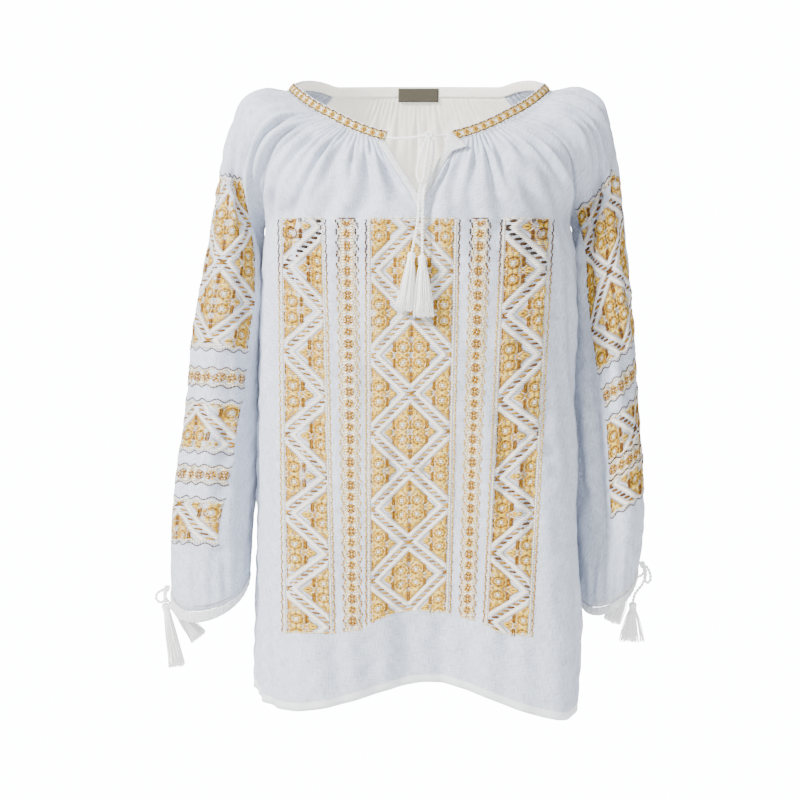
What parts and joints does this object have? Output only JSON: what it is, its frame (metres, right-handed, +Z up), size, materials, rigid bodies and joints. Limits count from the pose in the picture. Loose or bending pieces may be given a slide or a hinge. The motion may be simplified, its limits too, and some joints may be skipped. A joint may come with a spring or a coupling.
{
  "type": "blouse",
  "caption": "Loose long-sleeved blouse with raglan sleeves, a gathered drawstring neck with a slit, gathered cuffs and tassels.",
  "frame": {"origin": "middle of the neck loop at shoulder height, where the wearer's shoulders hold the blouse up", "axes": "+Z up, the front faces -Y, +X to the viewer's right"},
  "size_m": [0.5428, 0.2642, 0.6893],
  "materials": {
    "white_cloth": "matt plain weave",
    "casing_cloth": "matt plain weave",
    "band_embroidery": "satin thread",
    "label_weave": "smooth woven ribbon",
    "cord_white": "matt cotton cord"
  },
  "bodies": {
    "root": {"front": "white_cloth", "back": "white_cloth", "sleeve_left": "white_cloth", "sleeve_right": "white_cloth", "slit_facing_left": "casing_cloth", "slit_facing_right": "casing_cloth", "cuff_left": "casing_cloth", "cuff_right": "casing_cloth", "neck_band": "band_embroidery", "label": "label_weave", "neck_cord_left": "cord_white", "neck_cord_right": "cord_white", "neck_loop": "cord_white", "neck_end_left": "cord_white", "neck_end_right": "cord_white", "cuff_left_loop": "cord_white", "cuff_left_end_a": "cord_white", "cuff_left_end_b": "cord_white", "cuff_right_loop": "cord_white", "cuff_right_end_a": "cord_white", "cuff_right_end_b": "cord_white", "neck_knot": "cord_white", "cuff_left_knot": "cord_white", "cuff_right_knot": "cord_white", "neck_tassel_left": "cord_white", "neck_tassel_right": "cord_white", "cuff_left_tassel_a": "cord_white", "cuff_left_tassel_b": "cord_white", "cuff_right_tassel_a": "cord_white", "cuff_right_tassel_b": "cord_white"}
  },
  "joints": []
}
